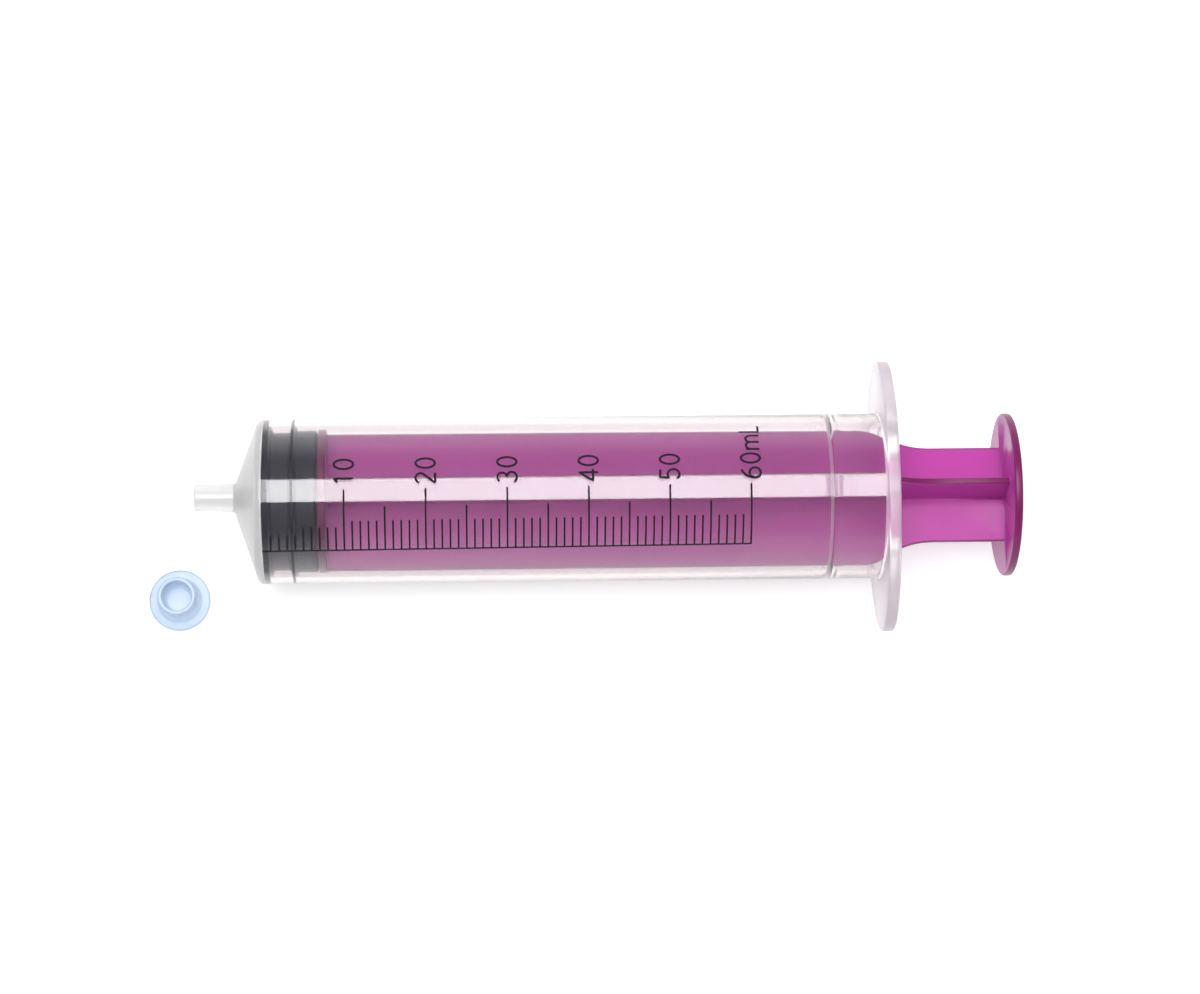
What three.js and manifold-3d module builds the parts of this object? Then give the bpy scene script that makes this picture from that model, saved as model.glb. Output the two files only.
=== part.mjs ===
// A 60 mL oral syringe lying on a table, with its tip cap standing beside the tip.
//
// Millimetres, +Z up. The syringe's axis runs along X, the tip towards -X and the thumb press towards +X.
// Lengths along the axis are measured from the 0 mL line (U below), and moved to the part's frame at the
// end: the origin is on the table, at the middle of the whole part's length and under the syringe's axis.
import * as THREE from "three";
import { mergeVertices } from "three/addons/utils/BufferGeometryUtils.js";
import Module from "manifold-3d";

const wasm = await Module();
wasm.setup();

// ---------- driving dimensions ----------

// Barrel: one clear moulding with tip, cone, tube, retaining bead and finger flange.
const BORE_R = 14.5; // a 29 mm bore holds 10 mL in every 15.14 mm
const FRONT_R = 15.65; // outside of the tube behind the cone
const REAR_R = 15.8; // outside of the tube at the flange, wider by the mould's draft
const SHOULDER_U = -1.3; // where the tube meets the cone
const CONE_SLOPE = 2.776; // radius gained per millimetre of length
const CONE_WALL = 1.38; // thickness of the cone, measured along the axis
const TIP_END_U = -13.6;
const TIP_END_R = 2.55;
const TIP_ROOT_R = 2.7;
const TIP_BORE_R = 1.15;
const TIP_OFFSET_Y = 0.85; // the tip stands this far off the axis
const SHOULDER_ROUND = 1.1;
const SHOULDER_CONE_R = FRONT_R - 0.15; // where the cone's slope would meet the rounding
const FLANGE_FRONT_U = 116.5;
const FLANGE_THICK = 2.3;
const FLANGE_HALF_SPAN = 26.0; // half the length of the two finger wings together
const FLANGE_HALF_HEIGHT = 16.2; // of the full oval, before its two flats
const FLANGE_FLAT = 16.0; // from the axis to each flat, and so the axis's height over the table
const BEAD_U = 107.1; // middle of the retaining bead inside the bore
const BEAD_HALF = 1.3;
const BEAD_HIGH = 0.3;

// Plunger rod: one moulding with head, piston disc, four fins and thumb press.
const DISC_FRONT_U = 10.1;
const DISC_THICK = 1.5;
const DISC_R = 13.6;
const HEAD_FRONT_U = 2.3;
const HEAD_REAR_U = 5.4;
const HEAD_R = 7.9;
const HEAD_BEVEL = 1.2;
const NECK_R = 5.4;
const FIN_ROOT_THICK = 1.76;
const FIN_TIP_THICK = 0.8; // at the full width; the mould's draft thins each fin towards its tip
const FIN_WIDE = 13.5; // half-width of the fins inside the barrel
const FIN_NARROW = 9.3; // half-width of the fins behind the barrel
const FIN_TAPER_START_U = 113;
const FIN_TAPER_END_U = 127;
const FIN_TAPER_PULL_U = 118.5; // where the two handles of the taper's curve meet
const ROD_ROLL = THREE.MathUtils.degToRad(-8); // the rod lies turned this far about the axis
const THUMB_FRONT_U = 140.3;
const THUMB_THICK = 1.5;
const THUMB_R = 15.55;
const THUMB_CROWN = 0.3; // the raised middle of the thumb press
const THUMB_CROWN_R = 12.4;

// Piston gasket: black rubber, with a cone that fits the barrel's, two sealing ribs and a skirt.
const RIB_R = 14.35;
const RIB_LONG = 0.95;
const REAR_RIB_U = 5.0;
const WAIST_R = 13.3;
const SKIRT_R = 13.7; // slips past the bead, which stops the rear rib
const SKIRT_END_U = 9.8;
const NOSE_R = 1.8; // the flat end of the gasket's cone
const CONE_GAP = 0.35; // along the axis, between the gasket's cone and the barrel's
const FIT_GAP = 0.3; // between the gasket's pocket and the rod's head

// Tip cap: a small push-on cap that stands on its wide base, mouth up.
const CAP_BASE_R = 5.9;
const CAP_BASE_THICK = 1.1;
const CAP_HIGH = 8.3;
const CAP_ROOT_R = 4.0;
const CAP_MOUTH_R = 3.65;
const SOCKET_MOUTH_R = 2.8;
const SOCKET_END_R = 2.6;
const SOCKET_FLOOR = 1.7;
const CAP_U = -17.7;
const CAP_Y = -16.8;

const EDGE = 0.3; // bevel on the mouldings' free edges
const SEGMENTS = 64; // facets round the barrel and the piston
const CAP_SEGMENTS = 32;

// ---------- derived places ----------

const AXIS_Z = FLANGE_FLAT;
const FLANGE_REAR_U = FLANGE_FRONT_U + FLANGE_THICK;
const THUMB_REAR_U = THUMB_FRONT_U + THUMB_THICK + THUMB_CROWN;
const MIDDLE_U = (CAP_U - CAP_BASE_R + THUMB_REAR_U) / 2;
const TIP_ROOT_U = SHOULDER_U - (SHOULDER_CONE_R - TIP_ROOT_R) / CONE_SLOPE;
const CONE_START_U = TIP_ROOT_U + 0.55; // ahead of this the barrel follows the tip, off the axis

// ---------- helpers ----------

// A solid of revolution about the X axis from a list of [u, radius].
function revolve(profile) {
  const points = profile.map(([u, r]) => new THREE.Vector2(r, u));
  return new THREE.LatheGeometry(points, SEGMENTS).rotateZ(-Math.PI / 2);
}

// An arc from one angle to another, as [u, r] points about a centre.
function arc(centreU, centreR, radius, fromDeg, toDeg, steps) {
  return Array.from({ length: steps + 1 }, (_, i) => {
    const a = THREE.MathUtils.degToRad(fromDeg + ((toDeg - fromDeg) * i) / steps);
    return [centreU + radius * Math.cos(a), centreR + radius * Math.sin(a)];
  });
}

function toManifold(geometry) {
  const bare = geometry.clone();
  bare.deleteAttribute("normal");
  bare.deleteAttribute("uv");
  const merged = mergeVertices(bare, 1e-4);
  return new wasm.Manifold(
    new wasm.Mesh({
      numProp: 3,
      vertProperties: merged.attributes.position.array,
      triVerts: new Uint32Array(merged.index.array),
    }),
  );
}

function toGeometry(solid) {
  const mesh = solid.getMesh();
  const geometry = new THREE.BufferGeometry();
  geometry.setAttribute("position", new THREE.BufferAttribute(mesh.vertProperties, 3));
  geometry.setIndex(new THREE.BufferAttribute(mesh.triVerts, 1));
  geometry.computeVertexNormals();
  return geometry;
}

function join(geometries) {
  return toGeometry(geometries.map(toManifold).reduce((whole, next) => whole.add(next)));
}

// An outline in the plane across the axis, made this thick along X from frontU.
function plateAcross(shape, frontU, thick) {
  const plate = new THREE.ExtrudeGeometry(shape, {
    depth: thick,
    bevelEnabled: false,
    curveSegments: SEGMENTS,
  });
  // the shape's x becomes the part's Y, its y becomes Z, and the depth runs along +X
  const turn = new THREE.Matrix4().makeBasis(
    new THREE.Vector3(0, 1, 0),
    new THREE.Vector3(0, 0, 1),
    new THREE.Vector3(1, 0, 0),
  );
  return plate.applyMatrix4(turn).translate(frontU, 0, 0);
}

function plastic(name, color, roughness, extra = {}) {
  return new THREE.MeshStandardMaterial({ name, color, roughness, metalness: 0, ...extra });
}

// ---------- barrel ----------

function barrelTube() {
  const coneInside = (r) => TIP_ROOT_U + CONE_WALL + (r - TIP_ROOT_R) / CONE_SLOPE;
  const outside = [
    [TIP_END_U, TIP_END_R - EDGE],
    [TIP_END_U + EDGE, TIP_END_R],
    [TIP_ROOT_U - EDGE, TIP_ROOT_R],
    [CONE_START_U, TIP_ROOT_R + (CONE_START_U - TIP_ROOT_U) * CONE_SLOPE],
    ...arc(SHOULDER_U + SHOULDER_ROUND, FRONT_R - SHOULDER_ROUND, SHOULDER_ROUND, 160, 90, 4),
    [FLANGE_REAR_U, REAR_R],
  ];
  const bead = arc(BEAD_U, 0, 1, 0, 180, 6).map(([u, lift]) => [
    BEAD_U + (u - BEAD_U) * BEAD_HALF,
    BORE_R - lift * BEAD_HIGH,
  ]);
  const inside = [
    [FLANGE_REAR_U, BORE_R + EDGE],
    [FLANGE_REAR_U - EDGE, BORE_R],
    ...bead,
    [coneInside(BORE_R) + EDGE, BORE_R],
    [coneInside(BORE_R - 2 * EDGE), BORE_R - 2 * EDGE],
    [coneInside(TIP_BORE_R), TIP_BORE_R],
    [TIP_END_U, TIP_BORE_R],
  ];
  const tube = revolve([...outside, ...inside, outside[0]]);
  const position = tube.attributes.position;
  for (let i = 0; i < position.count; i += 1) {
    const u = position.getX(i);
    if (u < CONE_START_U - 0.01 || Math.abs(u - coneInside(TIP_BORE_R)) < 0.01) {
      position.setY(i, position.getY(i) + TIP_OFFSET_Y);
    }
  }
  return tube;
}

// The oval of the two finger wings, with a flat on top and a flat to rest on.
function flangePlate() {
  const outline = new THREE.Shape(
    Array.from({ length: SEGMENTS }, (_, i) => {
      const a = (2 * Math.PI * i) / SEGMENTS;
      const z = THREE.MathUtils.clamp(FLANGE_HALF_HEIGHT * Math.sin(a), -FLANGE_FLAT, FLANGE_FLAT);
      return new THREE.Vector2(FLANGE_HALF_SPAN * Math.cos(a), z);
    }),
  );
  const hole = new THREE.Path();
  hole.absarc(0, 0, (BORE_R + REAR_R) / 2, 0, 2 * Math.PI, true);
  outline.holes.push(hole);
  return plateAcross(outline, FLANGE_FRONT_U, FLANGE_THICK);
}

function barrel() {
  return join([barrelTube(), flangePlate()]);
}

// ---------- plunger rod ----------

// A tall block in the XY plane with the rod's waisted outline: wide in the barrel, narrow behind it.
function waistBlock() {
  const front = DISC_FRONT_U + DISC_THICK / 2;
  const rear = THUMB_FRONT_U + THUMB_THICK / 2;
  const outline = new THREE.Shape();
  outline.moveTo(front, -FIN_WIDE);
  outline.lineTo(FIN_TAPER_START_U, -FIN_WIDE);
  outline.bezierCurveTo(
    FIN_TAPER_PULL_U,
    -FIN_WIDE,
    FIN_TAPER_PULL_U,
    -FIN_NARROW,
    FIN_TAPER_END_U,
    -FIN_NARROW,
  );
  outline.lineTo(rear, -FIN_NARROW);
  outline.lineTo(rear, FIN_NARROW);
  outline.lineTo(FIN_TAPER_END_U, FIN_NARROW);
  outline.bezierCurveTo(
    FIN_TAPER_PULL_U,
    FIN_NARROW,
    FIN_TAPER_PULL_U,
    FIN_WIDE,
    FIN_TAPER_START_U,
    FIN_WIDE,
  );
  outline.lineTo(front, FIN_WIDE);
  const block = new THREE.ExtrudeGeometry(outline, {
    depth: 2 * FIN_WIDE + 2,
    bevelEnabled: false,
    curveSegments: 8,
  });
  return block.translate(0, 0, -FIN_WIDE - 1);
}

// Four crossed fins: their drafted section all along the rod, cut to the waist from above and from the side.
function fins() {
  const root = FIN_ROOT_THICK / 2;
  const tip = FIN_TIP_THICK / 2;
  const arm = [
    [root, -root],
    [FIN_WIDE + 0.5, -tip],
    [FIN_WIDE + 0.5, tip],
  ];
  const quarters = [0, 1, 2, 3].map((k) => (k * Math.PI) / 2);
  const section = quarters.flatMap((turn) =>
    arm.map(([y, z]) => new THREE.Vector2(y, z).rotateAround(new THREE.Vector2(), turn)),
  );
  const front = DISC_FRONT_U + DISC_THICK / 2;
  const rear = THUMB_FRONT_U + THUMB_THICK / 2;
  const whole = toManifold(plateAcross(new THREE.Shape(section), front, rear - front));
  const flat = toManifold(waistBlock());
  const upright = toManifold(waistBlock().rotateX(Math.PI / 2));
  return toGeometry(whole.intersect(flat).intersect(upright));
}

function rodHead() {
  return revolve([
    [HEAD_FRONT_U, 0],
    [HEAD_FRONT_U, HEAD_R - HEAD_BEVEL],
    [HEAD_FRONT_U + HEAD_BEVEL, HEAD_R],
    [HEAD_REAR_U, HEAD_R],
    [HEAD_REAR_U, NECK_R],
    [DISC_FRONT_U, NECK_R],
    [DISC_FRONT_U, DISC_R - EDGE],
    [DISC_FRONT_U + EDGE, DISC_R],
    [DISC_FRONT_U + DISC_THICK - EDGE, DISC_R],
    [DISC_FRONT_U + DISC_THICK, DISC_R - EDGE],
    [DISC_FRONT_U + DISC_THICK, 0],
  ]);
}

function thumbPress() {
  const rear = THUMB_FRONT_U + THUMB_THICK;
  return revolve([
    [THUMB_FRONT_U, 0],
    [THUMB_FRONT_U, THUMB_R - EDGE],
    [THUMB_FRONT_U + EDGE, THUMB_R],
    [rear - EDGE, THUMB_R],
    [rear, THUMB_R - EDGE],
    [rear, THUMB_CROWN_R + THUMB_CROWN],
    [THUMB_REAR_U, THUMB_CROWN_R],
    [THUMB_REAR_U, 0],
  ]);
}

function plungerRod() {
  return join([rodHead(), fins(), thumbPress()]);
}

// ---------- piston gasket ----------

function pistonGasket() {
  const cone = (r) => TIP_ROOT_U + CONE_WALL + CONE_GAP + (r - TIP_ROOT_R) / CONE_SLOPE;
  const coneRim = RIB_R - 2 * EDGE;
  return revolve([
    [cone(NOSE_R), 0],
    [cone(NOSE_R), NOSE_R],
    [cone(coneRim), coneRim],
    [0, RIB_R],
    [RIB_LONG, RIB_R],
    [RIB_LONG + 2 * EDGE, WAIST_R],
    [REAR_RIB_U - 2 * EDGE, WAIST_R],
    [REAR_RIB_U, RIB_R],
    [REAR_RIB_U + RIB_LONG, RIB_R],
    [REAR_RIB_U + RIB_LONG + EDGE, SKIRT_R],
    [SKIRT_END_U, SKIRT_R],
    [SKIRT_END_U, NECK_R + FIT_GAP],
    [HEAD_REAR_U + FIT_GAP, NECK_R + FIT_GAP],
    [HEAD_REAR_U + FIT_GAP, HEAD_R + FIT_GAP],
    [HEAD_FRONT_U + HEAD_BEVEL - FIT_GAP, HEAD_R + FIT_GAP],
    [HEAD_FRONT_U - FIT_GAP, HEAD_R - HEAD_BEVEL + FIT_GAP],
    [HEAD_FRONT_U - FIT_GAP, 0],
  ]);
}

// ---------- tip cap ----------

function tipCap() {
  const points = [
    [0, 0],
    [CAP_BASE_R - EDGE, 0],
    [CAP_BASE_R, EDGE],
    [CAP_BASE_R, CAP_BASE_THICK - EDGE],
    [CAP_BASE_R - EDGE, CAP_BASE_THICK],
    [CAP_ROOT_R + EDGE, CAP_BASE_THICK],
    [CAP_ROOT_R, CAP_BASE_THICK + EDGE],
    [CAP_MOUTH_R, CAP_HIGH - EDGE],
    [CAP_MOUTH_R - EDGE, CAP_HIGH],
    [SOCKET_MOUTH_R, CAP_HIGH],
    [SOCKET_END_R, SOCKET_FLOOR + EDGE],
    [SOCKET_END_R - EDGE, SOCKET_FLOOR],
    [0, SOCKET_FLOOR],
  ];
  const cap = new THREE.LatheGeometry(
    points.map(([r, z]) => new THREE.Vector2(r, z)),
    CAP_SEGMENTS,
  );
  return cap.rotateX(Math.PI / 2);
}

// ---------- assembly ----------

const CLEAR = plastic("clear polypropylene", 0xf2f0f0, 0.12, { transparent: true, opacity: 0.35 });
const PURPLE = plastic("purple polypropylene", 0xb23a9a, 0.3);
const RUBBER = plastic("black rubber", 0x26292f, 0.6);
const PALE_BLUE = plastic("pale blue polyethylene", 0xbcd4f0, 0.35);

function named(name, geometry, material) {
  const mesh = new THREE.Mesh(geometry, material);
  mesh.name = name;
  return mesh;
}

const plungerRodMesh = named("plunger_rod", plungerRod(), PURPLE);
plungerRodMesh.rotation.x = ROD_ROLL;

const syringe = new THREE.Group();
syringe.add(
  named("barrel", barrel(), CLEAR),
  plungerRodMesh,
  named("piston_gasket", pistonGasket(), RUBBER),
);
syringe.position.set(-MIDDLE_U, 0, AXIS_Z);

const capMesh = named("tip_cap", tipCap(), PALE_BLUE);
capMesh.position.set(CAP_U - MIDDLE_U, CAP_Y, 0);

const part = new THREE.Group();
part.add(syringe, capMesh);

export default part;
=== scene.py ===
"""A 60 mL oral syringe lying on a white table, with its tip cap standing beside the tip.

The sizes of the pieces are in millimetres, and places in the scene are in metres, Blender's own unit.
The syringe's axis runs along X, with the tip towards -X. Lengths along the axis are measured in
millimetres from the 0 mL line (u below), and at() places them.
"""

import math

import bmesh
import bpy
from mathutils import Matrix, Vector


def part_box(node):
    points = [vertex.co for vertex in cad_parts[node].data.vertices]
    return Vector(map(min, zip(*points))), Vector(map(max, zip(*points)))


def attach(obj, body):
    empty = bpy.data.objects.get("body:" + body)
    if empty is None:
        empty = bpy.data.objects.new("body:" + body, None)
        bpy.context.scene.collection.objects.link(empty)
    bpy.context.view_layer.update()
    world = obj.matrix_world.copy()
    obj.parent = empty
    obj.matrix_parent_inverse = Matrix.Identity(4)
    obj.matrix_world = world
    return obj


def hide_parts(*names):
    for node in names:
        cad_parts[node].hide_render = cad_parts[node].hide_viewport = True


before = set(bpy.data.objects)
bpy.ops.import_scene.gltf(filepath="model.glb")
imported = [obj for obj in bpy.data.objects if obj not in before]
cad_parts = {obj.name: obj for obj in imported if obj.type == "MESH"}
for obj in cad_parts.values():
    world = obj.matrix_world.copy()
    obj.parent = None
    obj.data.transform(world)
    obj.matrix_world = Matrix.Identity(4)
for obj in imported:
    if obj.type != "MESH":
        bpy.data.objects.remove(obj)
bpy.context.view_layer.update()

MM = 0.001

# ---------- barrel sizes ----------

BORE_R = 14.5
FRONT_R = 15.65  # outside of the tube behind the cone
REAR_R = 15.8  # outside of the tube at the flange
SHOULDER_U = -1.3  # where the tube meets the cone
CONE_SLOPE = 2.776  # radius gained per millimetre of length
CONE_WALL = 1.38  # measured along the axis
CONE_CLOUD_U = -0.2  # the cloudy finish of tip and cone ends here
TIP_END_U = -13.6
TIP_END_R = 2.55
TIP_ROOT_R = 2.7
TIP_ROOT_U = -5.91
TIP_BORE_R = 1.15
TIP_OFFSET_Y = 0.85
TIP_BLEND_R = 4.2  # inside this radius the cone leans over to meet the tip
FLANGE_FRONT_U = 116.5
FLANGE_REAR_U = 118.8
FLANGE_HALF_SPAN = 26.0
FLANGE_HALF_HEIGHT = 16.2  # of the full oval, before its two flats
FLANGE_FLAT = 16.0  # from the axis to each flat
FLANGE_ROOT = 0.5  # fillet between the tube and the flange
FLANGE_EDGE = 0.45  # rounding of the flange's rim
FLANGE_ROOM = 1.05  # fillet and rounding shrink where the flange stands out less than this
BEAD_U = 107.1
BEAD_HALF = 1.3
BEAD_HIGH = 0.3
BEAD_PAINTED_HIGHLIGHT = 0.65  # the front of the bead is painted with a highlight over this length, in the whiter cloudy plastic
BEAD_SIDE = 1.0  # a ring this far from each side of the bead keeps its shading to itself

# ---------- plunger rod sizes ----------

HEAD_FRONT_U = 2.3
HEAD_REAR_U = 5.4
HEAD_R = 7.9
NECK_R = 5.4
DISC_FRONT_U = 10.1
DISC_REAR_U = 11.6
DISC_R = 13.6
FIN_ROOT_HALF = 0.88  # half of a fin's thickness at its root
FIN_DRAFT = 0.0366  # lost from that half with each millimetre towards the fin's tip
FIN_FILLET = 0.5
FIN_EDGE = 0.25
FIN_WIDE = 13.5  # half-width inside the barrel
FIN_NARROW = 9.3  # half-width behind it
TAPER_START_U = 113.0
TAPER_PULL_U = 118.5  # where the two handles of the taper's curve meet
TAPER_END_U = 127.0
ROD_ROLL = math.radians(-8)  # the rod lies turned about the axis
THUMB_FRONT_U = 140.3
THUMB_REAR_U = 141.8
THUMB_CROWN_U = 142.1
THUMB_CROWN_R = 12.4
THUMB_R = 15.55
# The darker purple on the fins' edges and on the rims is painted shade, for the darkening the plastic
# shows where it is seen edge-on.
FIN_PAINTED_SHADE = 0.1  # a fin's edge is the darker purple this far in
RIM_PAINTED_SHADE = 0.3  # and so is the rim of the disc and of the thumb press

# ---------- gasket sizes ----------

CONE_GAP = 0.35  # along the axis, between the gasket's cone and the barrel's
CONE_RIM_R = 13.7
RIB_R = BORE_R + 0.02  # pressed onto the bore, with no air between
FRONT_RIB = (-0.15, 1.05)  # where each rib starts and ends
REAR_RIB = (5.1, 5.75)
WAIST_R = 13.05
SKIRT_R = 13.4
SKIRT_END_U = 9.8
FIT_GAP = 0.3  # between the pocket and the rod's head
POCKET_MOUTH_R = 7.0  # the pocket narrows to this at its front, like the head

# ---------- tip cap sizes ----------

CAP_BASE_R = 5.9
CAP_BASE_THICK = 1.1
CAP_HIGH = 8.3
CAP_ROOT_R = 4.0
CAP_MOUTH_R = 3.65
SOCKET_MOUTH_R = 2.8
SOCKET_END_R = 2.6
SOCKET_FLOOR = 1.7
CAP_EDGE = 0.35  # rounding of the cap's base

# ---------- printed scale sizes ----------

CAPACITY_ML = 60
MM_PER_ML = 1000 / (math.pi * BORE_R**2)
INK_LOW = 0.01  # the ink's under side and top, over the tube
INK_HIGH = 0.03
LINE_WIDE = 0.33
NUMERAL_WIDE = 0.44
BASE_START_DEG = 44.6  # the base line's angle from the top towards -Y at 0 mL
BASE_END_DEG = 42.0  # and at 60 mL: the print is a little askew
FIRST_TICK = 3.2  # 1 to 4 mL
SECOND_TICK = 4.8  # 5 to 9 mL
MINOR_TICK = 6.0  # each millilitre over 10
MIDDLE_TICK = 8.65  # each 5 mL over 10
MAJOR_TICK = 11.85  # each 10 mL
NUMERAL_HIGH = 3.75
NUMERAL_BROAD = 1.18  # how much the numerals are stretched across
NUMERAL_GAP = 0.75  # from the top of a long line to its number

# ---------- how fine the meshes are ----------

TURN_STEPS = 180  # facets round the syringe
CAP_TURN_STEPS = 96
QUARTER_STEPS = 5  # in a quarter turn of the flange's roundings
BEAD_STEPS = 8  # in each half of the bead
FINE_ARC = math.radians(12)  # a rounding has a point at least this often
ROUNDING_REACH = 0.49  # of a side, so that two roundings on it never meet
SHARP_EDGE = math.radians(40)  # an edge that bends more than this is drawn sharp
STROKE_STEP = 0.5  # a printed line has a point at least this often

# ---------- places taken from the frame, in metres ----------

barrel_low, barrel_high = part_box("barrel")
cap_low, cap_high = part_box("tip_cap")

AXIS_Z = (barrel_low.z + barrel_high.z) / 2
ZERO_X = barrel_low.x - TIP_END_U * MM
CAP_CENTRE = (cap_low + cap_high) / 2
CAP_FOOT = Vector((CAP_CENTRE.x, CAP_CENTRE.y, cap_low.z))


# ---------- helpers: shapes ----------


def at(u):
    """The place along X of a length measured from the 0 mL line."""
    return ZERO_X + u * MM


def off_axis(point):
    """How far a point is from the syringe's axis, in millimetres."""
    return math.hypot(point.y, point.z - AXIS_Z) / MM


def turned(points, angle):
    """(y, z) points turned about the axis."""
    c, s = math.cos(angle), math.sin(angle)
    return [(y * c - z * s, y * s + z * c) for y, z in points]


def ring(u, outline):
    """A closed line of points across the axis from (y, z) points."""
    return [Vector((at(u), y * MM, AXIS_Z + z * MM)) for y, z in outline]


def circle(radius, steps=TURN_STEPS):
    """(y, z) points round a circle, or the one point of a pole."""
    if radius == 0:
        return [(0.0, 0.0)]
    angles = [2 * math.pi * i / steps for i in range(steps)]
    return [(radius * math.cos(a), radius * math.sin(a)) for a in angles]


def rounded(corners):
    """A line through (a, b, rounding) corners, each rounding an arc that touches both its sides."""
    line = []
    for i, (a, b, radius) in enumerate(corners):
        corner = Vector((a, b))
        if not radius or i in (0, len(corners) - 1):
            line.append((a, b))
            continue
        back = Vector(corners[i - 1][:2]) - corner
        ahead = Vector(corners[i + 1][:2]) - corner
        half = back.angle(ahead) / 2
        room = ROUNDING_REACH * min(back.length, ahead.length)
        reach = min(radius / math.tan(half), room)
        radius = reach * math.tan(half)
        centre = corner + (back.normalized() + ahead.normalized()).normalized() * radius / math.sin(half)
        start = corner + back.normalized() * reach - centre
        end = corner + ahead.normalized() * reach - centre
        sweep = start.angle_signed(end)
        steps = max(2, math.ceil(abs(sweep) / FINE_ARC))
        for k in range(steps + 1):
            turn = -sweep * k / steps
            c, s = math.cos(turn), math.sin(turn)
            across, along = start.x * c - start.y * s, start.x * s + start.y * c
            line.append((centre.x + across, centre.y + along))
    return line


def skin(bm, rings, loop=False):
    """Adds one closed skin through rings of points. One point is a pole, and open ends are capped."""
    rows = [[bm.verts.new(p) for p in points] for points in rings]
    pairs = list(zip(rows, rows[1:]))
    if loop:
        pairs.append((rows[-1], rows[0]))
    for near, far in pairs:
        count = max(len(near), len(far))
        for i in range(count):
            j = (i + 1) % count
            corners = [
                near[i % len(near)],
                near[j % len(near)],
                far[j % len(far)],
                far[i % len(far)],
            ]
            bm.faces.new(list(dict.fromkeys(corners)))
    if not loop:
        for end in (rows[0], rows[-1]):
            if len(end) > 2:
                bm.faces.new(end)


def lathe(bm, line, loop=False):
    """Adds a turned skin about the syringe's axis from (u, radius) points."""
    skin(bm, [ring(u, circle(r)) for u, r in line], loop)


def piece(name, bm, materials, body, node=None):
    """Finishes a piece: its mesh, its materials, the body it rides on and the node it stands for."""
    bmesh.ops.recalc_face_normals(bm, faces=bm.faces)
    for edge in bm.edges:
        edge.smooth = len(edge.link_faces) == 2 and edge.calc_face_angle() < SHARP_EDGE
    for face in bm.faces:
        face.smooth = True
    mesh = bpy.data.meshes.new(name)
    bm.to_mesh(mesh)
    bm.free()
    for material in materials:
        mesh.materials.append(material)
    made = bpy.data.objects.new(name, mesh)
    bpy.context.scene.collection.objects.link(made)
    if body:
        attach(made, body)
    if node:
        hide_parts(node)
    return made


# ---------- helpers: materials ----------

# A Mix node has a set of sockets for each type of value, and these are the ones that mix colours.
MIX_FACTOR = 0
MIX_A = 6
MIX_B = 7
MIX_RESULT = 2

PATTERN_DETAIL = 3.0  # octaves of each noise


def linear(hex_colour):
    """An sRGB hex colour as a linear one."""
    parts = [int(hex_colour[i : i + 2], 16) / 255 for i in (0, 2, 4)]
    return (*[p / 12.92 if p <= 0.04045 else ((p + 0.055) / 1.055) ** 2.4 for p in parts], 1.0)


def add(tree, kind, values=None, links=None, **settings):
    """A new node with its settings, its sockets' values and the links into them."""
    made = tree.nodes.new(kind)
    for name, value in settings.items():
        setattr(made, name, value)
    for socket, value in (values or {}).items():
        made.inputs[socket].default_value = value
    for socket, source in (links or {}).items():
        tree.links.new(source, made.inputs[socket])
    return made


def moulded(name, shades, blotch_mm, relief_mm, depth_mm, values, stretch=(1, 1, 1)):
    """A surface of two shades in blotches, with a faint relief of this real depth.

    Both patterns have real sizes in the part's own frame, and stretch draws them out along X, Y or Z.
    """
    material = bpy.data.materials.new(name)
    material.use_nodes = True
    tree = material.node_tree
    tree.nodes.clear()
    place = add(tree, "ShaderNodeTexCoord")
    drawn = add(
        tree,
        "ShaderNodeMapping",
        {"Scale": tuple(1 / s for s in stretch)},
        {"Vector": place.outputs["Object"]},
    ).outputs["Vector"]
    blotches, relief = (
        add(
            tree,
            "ShaderNodeTexNoise",
            {"Scale": 1 / (size * MM), "Detail": PATTERN_DETAIL},
            {"Vector": drawn},
        )
        for size in (blotch_mm, relief_mm)
    )
    colour = add(
        tree,
        "ShaderNodeMix",
        {MIX_A: linear(shades[0]), MIX_B: linear(shades[1])},
        {MIX_FACTOR: blotches.outputs["Fac"]},
        data_type="RGBA",
    )
    normal = add(tree, "ShaderNodeBump", {"Distance": depth_mm * MM}, {"Height": relief.outputs["Fac"]})
    shader = add(
        tree,
        "ShaderNodeBsdfPrincipled",
        values,
        {"Base Color": colour.outputs[MIX_RESULT], "Normal": normal.outputs["Normal"]},
        name="shader",
    )
    add(tree, "ShaderNodeOutputMaterial", links={"Surface": shader.outputs["BSDF"]}, name="out")
    return material


# ---------- materials ----------


def clear_polypropylene():
    """Injection-moulded polypropylene: clear, glossy, and creamy where the eye looks along its wall."""
    material = moulded(
        "clear_moulded_polypropylene",
        ("FFFCFD", "FDF9FB"),
        blotch_mm=4.0,
        relief_mm=6.0,
        depth_mm=0.006,
        values={"Roughness": 0.06, "IOR": 1.49},
        stretch=(6, 1, 1),
    )
    tree = material.node_tree
    shader = tree.nodes["shader"]
    slant = add(tree, "ShaderNodeLayerWeight", {"Blend": 0.5})
    along_wall = add(
        tree,
        "ShaderNodeMapRange",
        {"From Min": 0.45, "From Max": 0.62},
        {"Value": slant.outputs["Facing"]},
        interpolation_type="SMOOTHSTEP",
    )
    clearness = add(
        tree,
        "ShaderNodeMapRange",
        {"To Min": 0.988, "To Max": 0.72},
        {"Value": along_wall.outputs["Result"]},
    )
    colour = add(
        tree,
        "ShaderNodeMix",
        {MIX_B: linear("E0D3D3")},
        {
            MIX_FACTOR: along_wall.outputs["Result"],
            MIX_A: shader.inputs["Base Color"].links[0].from_socket,
        },
        data_type="RGBA",
    )
    tree.links.new(clearness.outputs["Result"], shader.inputs["Transmission Weight"])
    tree.links.new(colour.outputs[MIX_RESULT], shader.inputs["Base Color"])
    return material


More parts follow.
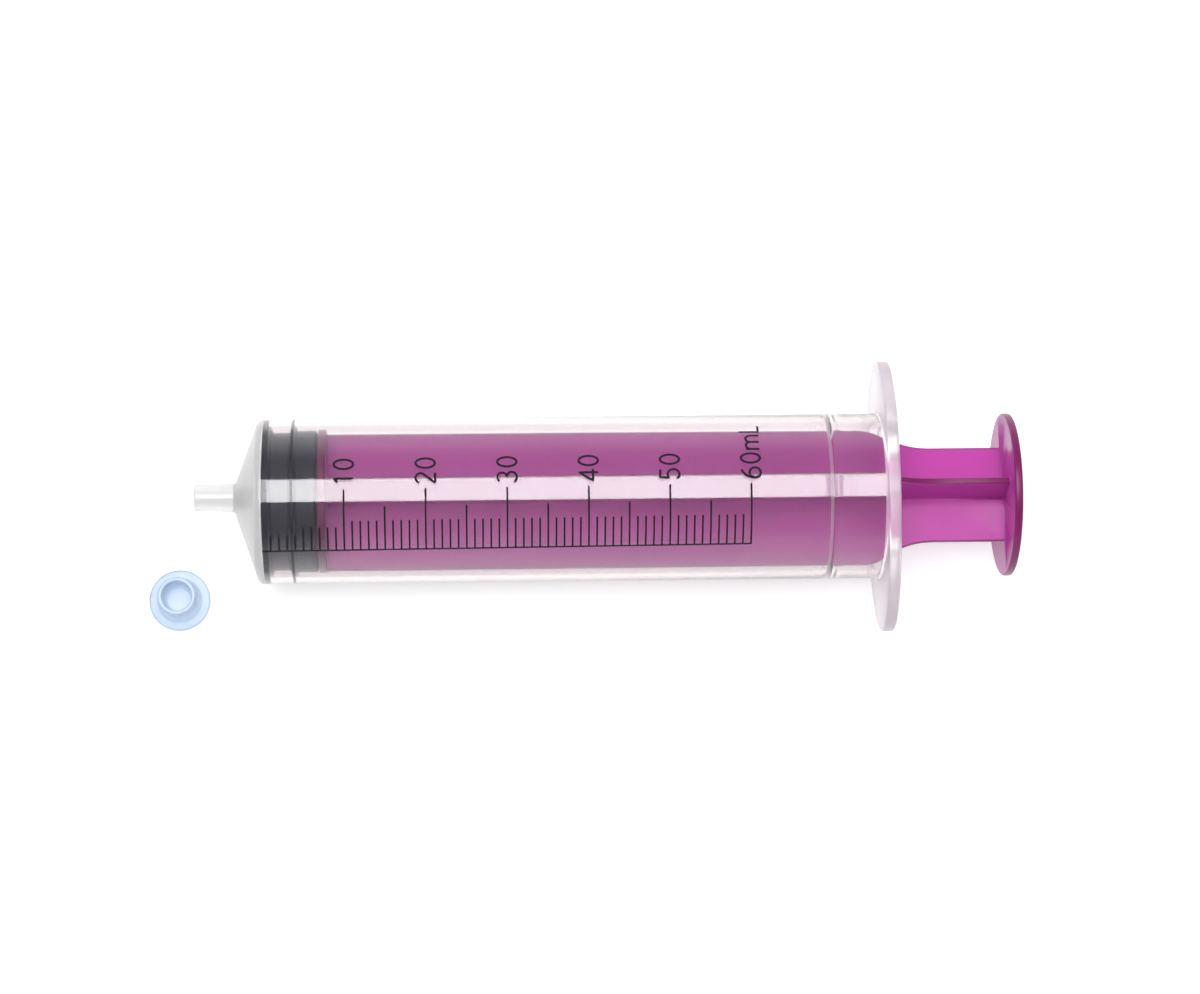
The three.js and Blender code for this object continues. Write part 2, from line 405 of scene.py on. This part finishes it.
def cloudy_polypropylene(name, shades, clearness):
    """The same plastic where it is thick or lies on a slope: it scatters light, like thin milk."""
    return moulded(
        name,
        shades,
        blotch_mm=3.0,
        relief_mm=0.8,
        depth_mm=0.01,
        values={"Roughness": 0.28, "IOR": 1.49, "Transmission Weight": clearness},
    )


def purple_polypropylene(name, shades):
    """Moulded polypropylene dyed purple right through: thin walls glow, and deep ones go dark."""
    material = moulded(
        name,
        shades,
        blotch_mm=5.0,
        relief_mm=0.9,
        depth_mm=0.01,
        values={
            "Roughness": 0.3,
            "IOR": 1.49,
            "Specular IOR Level": 0.2,
            "Transmission Weight": 0.5,
        },
        stretch=(3, 1, 1),
    )
    tree = material.node_tree
    dye = add(tree, "ShaderNodeVolumeAbsorption", {"Color": linear("D040B8"), "Density": 0.25 / MM})
    tree.links.new(dye.outputs["Volume"], tree.nodes["out"].inputs["Volume"])
    return material


def black_rubber():
    """Moulded black rubber: nearly black, with a soft sheen."""
    return moulded(
        "black_moulded_rubber",
        ("03091E", "08122C"),
        blotch_mm=1.2,
        relief_mm=0.25,
        depth_mm=0.01,
        values={"Roughness": 0.5, "IOR": 1.52, "Specular IOR Level": 0.3},
    )


def black_ink():
    """Printed black ink: matt, nearly black, and a little uneven."""
    return moulded(
        "black_printed_ink",
        ("120C18", "1C1222"),
        blotch_mm=0.4,
        relief_mm=0.15,
        depth_mm=0.004,
        values={"Roughness": 0.7, "IOR": 1.5, "Specular IOR Level": 0.2},
    )


def pale_blue_polyethylene():
    """Injection-moulded polyethylene tinted pale blue: waxy and milky, and light passes through it."""
    return moulded(
        "pale_blue_moulded_polyethylene",
        ("B2C6E1", "C2D5EC"),
        blotch_mm=2.5,
        relief_mm=0.8,
        depth_mm=0.012,
        values={"Roughness": 0.35, "IOR": 1.51, "Transmission Weight": 0.8},
    )


def white_table():
    """A matt white acrylic light table: plain, and lit a little from below, so shadows on it are faint."""
    return moulded(
        "matt_white_acrylic",
        ("CCCCCC", "D2D2D2"),
        blotch_mm=40.0,
        relief_mm=2.0,
        depth_mm=0.005,
        values={
            "Roughness": 0.9,
            "Specular IOR Level": 0.0,
            "Emission Color": linear("FFFFFF"),
            "Emission Strength": 0.6,
        },
    )


CLEAR = clear_polypropylene()
CLOUDY_CONE = cloudy_polypropylene("cloudy_polypropylene_cone", ("ECEBEB", "F6F5F5"), 0.7)
CLOUDY_FLANGE = cloudy_polypropylene("cloudy_polypropylene_flange", ("FCF3F9", "FFFAFD"), 0.78)
PURPLE = purple_polypropylene("purple_moulded_polypropylene", ("CC46B4", "D44EBC"))
# A darker copy of the purple: painted shade for the fins' edges and the rims, not a different dye.
PURPLE_PAINTED_EDGE_SHADE = purple_polypropylene("purple_polypropylene_painted_edge_shade", ("93206F", "9D2879"))
RUBBER = black_rubber()
INK = black_ink()
PALE_BLUE = pale_blue_polyethylene()
TABLE = white_table()


# ---------- barrel ----------


def flange_rim(angle):
    """The radius of the finger flange's oval with its two flats, at this angle from +Y."""
    c, s = math.cos(angle), math.sin(angle)
    oval = 1 / math.hypot(c / FLANGE_HALF_SPAN, s / FLANGE_HALF_HEIGHT)
    return min(oval, FLANGE_FLAT / abs(s)) if s else oval


def flange_outline(root=None, inset=None):
    """(y, z) points this far outside the tube, or inside the rim: less where the flange is shallow."""
    points = []
    for i in range(TURN_STEPS):
        angle = 2 * math.pi * i / TURN_STEPS
        rim = flange_rim(angle)
        share = min(1.0, (rim - REAR_R) / FLANGE_ROOM)
        radius = REAR_R + share * root if inset is None else rim - share * inset
        points.append((radius * math.cos(angle), radius * math.sin(angle)))
    return points


def flange_rings():
    """Rings over the flange from the tube's outside: its fillet, its front edge and its rear edge."""
    quarter = [math.pi / 2 * k / QUARTER_STEPS for k in range(QUARTER_STEPS + 1)]
    rings = []
    for a in quarter[1:]:
        u = FLANGE_FRONT_U - FLANGE_ROOT + FLANGE_ROOT * math.sin(a)
        rings.append(ring(u, flange_outline(root=FLANGE_ROOT * (1 - math.cos(a)))))
    for a in quarter:
        u = FLANGE_FRONT_U + FLANGE_EDGE * (1 - math.cos(a))
        rings.append(ring(u, flange_outline(inset=FLANGE_EDGE * (1 - math.sin(a)))))
    for a in quarter:
        u = FLANGE_REAR_U - FLANGE_EDGE + FLANGE_EDGE * math.sin(a)
        rings.append(ring(u, flange_outline(inset=FLANGE_EDGE * (1 - math.cos(a)))))
    return rings


def cone_inside_u(radius):
    """Where the inside of the cone has this radius."""
    return TIP_ROOT_U + CONE_WALL + (radius - TIP_ROOT_R) / CONE_SLOPE


def lean(rings):
    """Moves the tip, and the cone's small end, off the axis towards +Y."""
    for points in rings:
        for p in points:
            radius = off_axis(p)
            if p.x < at(0) and radius < TIP_BLEND_R:
                share = min(1.0, (TIP_BLEND_R - radius) / (TIP_BLEND_R - TIP_ROOT_R))
                p.y += share * TIP_OFFSET_Y * MM
    return rings


def barrel():
    """One skin: up the outside from the tip's end, over the flange, and back down the bore."""
    seam = (TIP_END_U, TIP_BORE_R + 0.2, 0)  # on the flat end of the tip, where the skin closes
    mouth_edge = 0.3
    outside = rounded(
        [
            seam,
            (TIP_END_U, TIP_END_R, 0.35),
            (TIP_ROOT_U, TIP_ROOT_R, 0.5),
            (SHOULDER_U, FRONT_R, 1.5),
            (FLANGE_FRONT_U - FLANGE_ROOT, REAR_R, 0),
        ]
    )
    rear_mouth = rounded(
        [
            (FLANGE_REAR_U, BORE_R + 2 * mouth_edge, 0),
            (FLANGE_REAR_U, BORE_R, mouth_edge),
            (BEAD_U + BEAD_HALF + BEAD_SIDE, BORE_R, 0),
        ]
    )
    bead = []
    for k in range(-BEAD_STEPS, BEAD_STEPS + 1):
        lift = BEAD_HIGH * math.cos(math.pi / 2 * k / BEAD_STEPS) ** 2
        bead.append((BEAD_U - BEAD_HALF * k / BEAD_STEPS, BORE_R - lift))
    bore = rounded(
        [
            (BEAD_U - BEAD_HALF - BEAD_SIDE, BORE_R, 0),
            (cone_inside_u(BORE_R), BORE_R, 0.8),
            (cone_inside_u(TIP_BORE_R), TIP_BORE_R, 0.6),
            (TIP_END_U, TIP_BORE_R, 0.15),
            seam,
        ]
    )[:-1]

    rings = [ring(u, circle(r)) for u, r in outside]
    rings += flange_rings()
    rings += [ring(u, circle(r)) for u, r in rear_mouth + bead + bore]
    bm = bmesh.new()
    skin(bm, lean(rings), loop=True)

    finishes = [CLEAR, CLOUDY_CONE, CLOUDY_FLANGE]
    bead_front = at(BEAD_U - BEAD_HALF)
    for face in bm.faces:
        place = face.calc_center_median().x
        if place < at(CONE_CLOUD_U):
            face.material_index = finishes.index(CLOUDY_CONE)
        elif place > at(FLANGE_FRONT_U - FLANGE_ROOT):
            face.material_index = finishes.index(CLOUDY_FLANGE)
        # painted highlight: the bead's front edge gets the whiter cloudy plastic, for the bright line it
        # shows
        elif bead_front < place < bead_front + BEAD_PAINTED_HIGHLIGHT * MM:
            face.material_index = finishes.index(CLOUDY_FLANGE)
    piece("barrel_moulding", bm, finishes, "barrel", "barrel")


# ---------- plunger rod ----------


# The rod's purple, and its darker copy that paints shade on the edges and rims.
ROD_DYE_AND_PAINTED_SHADE = [PURPLE, PURPLE_PAINTED_EDGE_SHADE]


def fin_half_width(u):
    """The fins' half-width: wide in the barrel, and drawn in by one cubic curve behind it."""
    if u <= TAPER_START_U:
        return FIN_WIDE
    if u >= TAPER_END_U:
        return FIN_NARROW
    low, high = 0.0, 1.0
    for _ in range(30):  # halvings, which find the curve's place over u
        t = (low + high) / 2
        place = (
            (1 - t) ** 3 * TAPER_START_U
            + 3 * t * (1 - t) * TAPER_PULL_U
            + t**3 * TAPER_END_U
        )
        low, high = (t, high) if place < u else (low, t)
    return FIN_WIDE + (FIN_NARROW - FIN_WIDE) * t * t * (3 - 2 * t)


def fin_section(width):
    """(y, z) points round four crossed fins, drafted, with rounded tips and filleted roots."""
    root = FIN_ROOT_HALF
    tip = root - FIN_DRAFT * (width - root)
    arm = rounded(
        [
            (tip, -width, 0),
            (root, -root, FIN_FILLET),
            (width, -tip, FIN_EDGE),
            (width, tip, FIN_EDGE),
            (root, root, 0),
        ]
    )[1:-1]
    return [p for quarter in range(4) for p in turned(arm, math.pi / 2 * quarter)]


def darken_rim(bm, rim_at, depth):
    """Paints shade on the rim: gives the faces this far in from the rim the darker purple. rim_at gives
    the rim's radius at u.
    """
    for face in bm.faces:
        centre = face.calc_center_median()
        rim = rim_at((centre.x - ZERO_X) / MM)
        shade = PURPLE_PAINTED_EDGE_SHADE if off_axis(centre) > rim - depth else PURPLE
        face.material_index = ROD_DYE_AND_PAINTED_SHADE.index(shade)


def turned_on_rod(name, rim_r, corners):
    """A round piece of the rod, with painted shade on its rim."""
    bm = bmesh.new()
    lathe(bm, rounded(corners))
    darken_rim(bm, lambda u: rim_r, RIM_PAINTED_SHADE)
    return piece(name, bm, ROD_DYE_AND_PAINTED_SHADE, "plunger", None)


def plunger_fins():
    """The four fins, which reach a little into the disc and the thumb press, to be joined to them."""
    overlap = 0.5
    plain_step, taper_step = 10, 0.5
    plain_steps = int((TAPER_START_U - DISC_REAR_U) / plain_step)
    taper_steps = round((TAPER_END_U - TAPER_START_U) / taper_step)
    stations = [DISC_REAR_U - overlap]
    stations += [DISC_REAR_U + plain_step * k for k in range(1, plain_steps)]
    stations += [TAPER_START_U + taper_step * k for k in range(taper_steps + 1)]
    stations += [THUMB_FRONT_U + overlap]
    bm = bmesh.new()
    skin(bm, [ring(u, turned(fin_section(fin_half_width(u)), ROD_ROLL)) for u in stations])
    # painted shade along the fins' edges
    darken_rim(bm, fin_half_width, FIN_PAINTED_SHADE)
    return piece("plunger_fins", bm, ROD_DYE_AND_PAINTED_SHADE, "plunger", "plunger_rod")


def plunger_rod():
    fins = plunger_fins()
    head = turned_on_rod(
        "plunger_head",
        DISC_R,
        [
            (HEAD_FRONT_U, 0, 0),
            (HEAD_FRONT_U, HEAD_R, 1.2),
            (HEAD_REAR_U, HEAD_R, 0.3),
            (HEAD_REAR_U, NECK_R, 0.3),
            (DISC_FRONT_U, NECK_R, 0.3),
            (DISC_FRONT_U, DISC_R, 0.3),
            (DISC_REAR_U, DISC_R, 0.3),
            (DISC_REAR_U, 0, 0),
        ],
    )
    press = turned_on_rod(
        "thumb_press",
        THUMB_R,
        [
            (THUMB_FRONT_U, 0, 0),
            (THUMB_FRONT_U, THUMB_R, 0.4),
            (THUMB_REAR_U, THUMB_R, 0.4),
            (THUMB_REAR_U, THUMB_CROWN_R + 0.4, 0.3),
            (THUMB_CROWN_U, THUMB_CROWN_R, 0.3),
            (THUMB_CROWN_U, 0, 0),
        ],
    )
    join(fins, head, press)


def join(whole, *others):
    """Makes overlapping solids one, so that no face is left inside, and keeps its flat faces flat."""
    for other in others:
        modifier = whole.modifiers.new("join", "BOOLEAN")
        modifier.operation = "UNION"
        modifier.solver = "EXACT"
        modifier.object = other
    flat = whole.modifiers.new("flat_faces_stay_flat", "WEIGHTED_NORMAL")
    flat.keep_sharp = True
    bpy.context.view_layer.update()
    graph = bpy.context.evaluated_depsgraph_get()
    made = bpy.data.meshes.new_from_object(whole.evaluated_get(graph))
    whole.modifiers.clear()
    whole.data = made
    for other in others:
        bpy.data.objects.remove(other)


# ---------- piston gasket ----------


def gasket():
    """Two ribs press on the bore, and a skirt trails behind them. The pocket fits the rod's head."""
    pocket_front_u = HEAD_FRONT_U - FIT_GAP
    pocket_rear_u = HEAD_REAR_U + FIT_GAP
    pocket_r = HEAD_R + FIT_GAP
    neck_hole_r = NECK_R + FIT_GAP
    line = rounded(
        [
            (cone_inside_u(0) + CONE_GAP, 0, 0),
            (cone_inside_u(CONE_RIM_R) + CONE_GAP, CONE_RIM_R, 0.4),
            (FRONT_RIB[0], RIB_R, 0.3),
            (FRONT_RIB[1], RIB_R, 0.3),
            (1.4, WAIST_R, 0.5),
            (4.8, WAIST_R, 0.5),
            (REAR_RIB[0], RIB_R, 0.2),
            (REAR_RIB[1], RIB_R, 0.2),
            (6.1, SKIRT_R, 0.5),
            (SKIRT_END_U, SKIRT_R, 0.5),
            (SKIRT_END_U, neck_hole_r, 0.3),
            (pocket_rear_u, neck_hole_r, 0.2),
            (pocket_rear_u, pocket_r, 0.2),
            (3.2, pocket_r, 0.2),
            (pocket_front_u, POCKET_MOUTH_R, 0.2),
            (pocket_front_u, 0, 0),
        ]
    )
    bm = bmesh.new()
    lathe(bm, line)
    piece("gasket_moulding", bm, [RUBBER], "plunger", "piston_gasket")


# ---------- printed scale ----------


def tube_radius(u):
    """The outside of the tube, which the mould's draft widens towards the flange."""
    share = (u - SHOULDER_U) / (FLANGE_FRONT_U - SHOULDER_U)
    return FRONT_R + (REAR_R - FRONT_R) * share


def base_arc(u):
    """Where the scale's base line is, as a length round the tube from its top towards +Y."""
    share = u / (CAPACITY_ML * MM_PER_ML)
    degrees = BASE_START_DEG + (BASE_END_DEG - BASE_START_DEG) * share
    return -math.radians(degrees) * tube_radius(u)


def on_tube(u, arc, lift):
    """A point on the tube from u and a length round it, this far above its surface."""
    radius = tube_radius(u)
    angle = arc / radius
    reach = (radius + lift) * MM
    return Vector((at(u), reach * math.sin(angle), AXIS_Z + reach * math.cos(angle)))


def stroke(bm, path, wide, closed=False):
    """One printed line along (u, arc) points, wrapped on the tube."""
    dense = []
    ends = path[1:] + path[:1] if closed else path[1:]
    for (u0, a0), (u1, a1) in zip(path, ends):
        steps = max(1, math.ceil(math.hypot(u1 - u0, a1 - a0) / STROKE_STEP))
        dense += [(u0 + (u1 - u0) * k / steps, a0 + (a1 - a0) * k / steps) for k in range(steps)]
    if not closed:
        dense.append(path[-1])
    count = len(dense)
    corners = [(1, INK_LOW), (-1, INK_LOW), (-1, INK_HIGH), (1, INK_HIGH)]
    rings = []
    for i, (u, a) in enumerate(dense):
        before = dense[i - 1] if i or closed else dense[0]
        after = dense[(i + 1) % count] if i + 1 < count or closed else dense[-1]
        run = Vector((after[0] - before[0], after[1] - before[1])).normalized()
        du, da = -run.y * wide / 2, run.x * wide / 2
        rings.append([on_tube(u + side * du, a + side * da, lift) for side, lift in corners])
    skin(bm, rings, loop=closed)


def bend(cx, cy, rx, ry, start, end, steps=10):
    """Part of an oval from one angle to another, as points of a numeral."""
    angles = [math.radians(start + (end - start) * k / steps) for k in range(steps + 1)]
    return [(cx + rx * math.cos(a), cy + ry * math.sin(a)) for a in angles]


# Each sign is a list of (points, closed), in sign heights: across from its left, and up from its foot.
SIGNS = {
    "0": [(bend(0.28, 0.5, 0.22, 0.48, 0, 345, 23), True)],
    "1": [([(0.12, 0.78), (0.3, 0.97), (0.3, 0.02)], False)],
    "2": [(bend(0.27, 0.73, 0.21, 0.25, 165, -25) + [(0.06, 0.02), (0.5, 0.02)], False)],
    "3": [
        (bend(0.25, 0.745, 0.2, 0.235, 150, -80) + bend(0.25, 0.265, 0.23, 0.245, 80, -155), False)
    ],
    "4": [([(0.4, 0.02), (0.4, 0.98), (0.04, 0.28), (0.54, 0.28)], False)],
    "5": [([(0.47, 0.98), (0.13, 0.98), (0.1, 0.53)] + bend(0.26, 0.32, 0.22, 0.3, 115, -150), False)],
    "6": [
        (bend(0.28, 0.3, 0.22, 0.28, 0, 345, 23), True),
        (bend(0.5, 0.33, 0.44, 0.64, 180, 100), False),
    ],
    "m": [
        ([(0.06, 0.02), (0.06, 0.68)], False),
        (bend(0.25, 0.46, 0.19, 0.22, 180, 0) + [(0.44, 0.02)], False),
        (bend(0.63, 0.46, 0.19, 0.22, 180, 0) + [(0.82, 0.02)], False),
    ],
    "L": [([(0.08, 0.98), (0.08, 0.02), (0.5, 0.02)], False)],
}
DIGIT_ADVANCE = 0.66  # from one sign's left to the next one's
LETTER_ADVANCE = {"m": 0.98, "L": 0.5}


def words(bm, text, u, arc):
    """Writes round the tube from arc towards +Y, with the tops of the signs towards the tip."""
    broad = NUMERAL_HIGH * NUMERAL_BROAD
    for sign in text:
        for points, closed in SIGNS[sign]:
            path = [(u + (0.5 - up) * NUMERAL_HIGH, arc + across * broad) for across, up in points]
            stroke(bm, path, NUMERAL_WIDE, closed)
        arc += LETTER_ADVANCE.get(sign, DIGIT_ADVANCE) * broad


def tick_length(ml):
    """How long the line at this many millilitres is."""
    if ml % 10 == 0:
        return MAJOR_TICK
    if ml > 10 and ml % 5 == 0:
        return MIDDLE_TICK
    if ml > 10:
        return MINOR_TICK
    return SECOND_TICK if ml >= 5 else FIRST_TICK


def printed_scale():
    """The base line, a line for each millilitre and a number for each 10 mL, as raised ink."""
    bm = bmesh.new()
    long = CAPACITY_ML * MM_PER_ML + LINE_WIDE
    base = [long * k / CAPACITY_ML - LINE_WIDE / 2 for k in range(CAPACITY_ML + 1)]
    stroke(bm, [(u, base_arc(u)) for u in base], LINE_WIDE)
    for ml in range(1, CAPACITY_ML + 1):
        u = ml * MM_PER_ML
        foot = base_arc(u)
        stroke(bm, [(u, foot), (u, foot + tick_length(ml))], LINE_WIDE)
        if ml % 10 == 0:
            text = f"{ml}mL" if ml == CAPACITY_ML else str(ml)
            words(bm, text, u, foot + MAJOR_TICK + NUMERAL_GAP)
    piece("printed_scale", bm, [INK], "barrel")


# ---------- tip cap ----------


def tip_cap():
    """A small cap that stands on its wide base, mouth up, turned about its own upright axis."""
    line = rounded(
        [
            (0, 0, 0),
            (0, CAP_BASE_R, CAP_EDGE),
            (CAP_BASE_THICK, CAP_BASE_R, CAP_EDGE),
            (CAP_BASE_THICK, CAP_ROOT_R, 0.5),
            (CAP_HIGH, CAP_MOUTH_R, 0.3),
            (CAP_HIGH, SOCKET_MOUTH_R, 0.3),
            (SOCKET_FLOOR, SOCKET_END_R, 0.5),
            (SOCKET_FLOOR, 0, 0),
        ]
    )
    rings = []
    for height, radius in line:
        outline = circle(radius, CAP_TURN_STEPS)
        rings.append([CAP_FOOT + Vector((x * MM, y * MM, height * MM)) for x, y in outline])
    bm = bmesh.new()
    skin(bm, rings)
    piece("cap_moulding", bm, [PALE_BLUE], "cap", "tip_cap")


# ---------- table, light and camera, in metres ----------


def table():
    half_side_m = 1.5
    cells = 8  # each way
    bm = bmesh.new()
    bmesh.ops.create_grid(bm, x_segments=cells, y_segments=cells, size=half_side_m)
    piece("table_top", bm, [TABLE], None)


def studio():
    """White walls that go grey overhead."""
    world = bpy.data.worlds.new("white_studio")
    world.use_nodes = True
    tree = world.node_tree
    away = add(tree, "ShaderNodeTexCoord")
    height = add(tree, "ShaderNodeSeparateXYZ", links={"Vector": away.outputs["Generated"]})
    walls = add(
        tree,
        "ShaderNodeMapRange",
        {"From Min": 0.1, "From Max": 0.65, "To Min": 1.15, "To Max": 0.3},
        {"Value": height.outputs["Z"]},
        interpolation_type="SMOOTHSTEP",
    )
    tree.links.new(walls.outputs["Result"], tree.nodes["Background"].inputs["Strength"])
    tree.nodes["Background"].inputs["Color"].default_value = linear("FCFDFF")
    bpy.context.scene.world = world


def long_panel():
    """One soft panel light over the syringe, which gives the tube its long highlight."""
    place = Vector((-0.06, 0.07, 0.62))
    aim = Vector((place.x, 0, 0.016))
    light = bpy.data.lights.new("long_panel", "AREA")
    light.shape = "RECTANGLE"
    light.size = 0.4
    light.size_y = 0.34
    light.energy = 4.0  # watts
    made = bpy.data.objects.new("long_panel", light)
    made.location = place
    made.rotation_euler = (aim - place).to_track_quat("-Z", "Y").to_euler()
    bpy.context.scene.collection.objects.link(made)


def camera():
    """Over the syringe, looking nearly straight down, with the tip on the left."""
    data = bpy.data.cameras.new("camera")
    data.sensor_width = 36
    data.lens = 93
    data.clip_start = 0.01
    data.clip_end = 10
    made = bpy.data.objects.new("camera", data)
    place = Vector((at(37.5), -0.089, 0.5995))
    aim = Vector((at(63.3), 0.0003, AXIS_Z))
    up_hint = Vector((0.0165, 1, 0))
    away = (place - aim).normalized()
    right = up_hint.cross(away).normalized()
    up = away.cross(right)
    turn = Matrix((right, up, away)).transposed().to_4x4()
    made.matrix_world = Matrix.Translation(place) @ turn
    bpy.context.scene.collection.objects.link(made)
    bpy.context.scene.camera = made


table()
studio()
long_panel()
camera()
barrel()
plunger_rod()
gasket()
printed_scale()
tip_cap()

bpy.context.scene.view_settings.view_transform = "Standard"
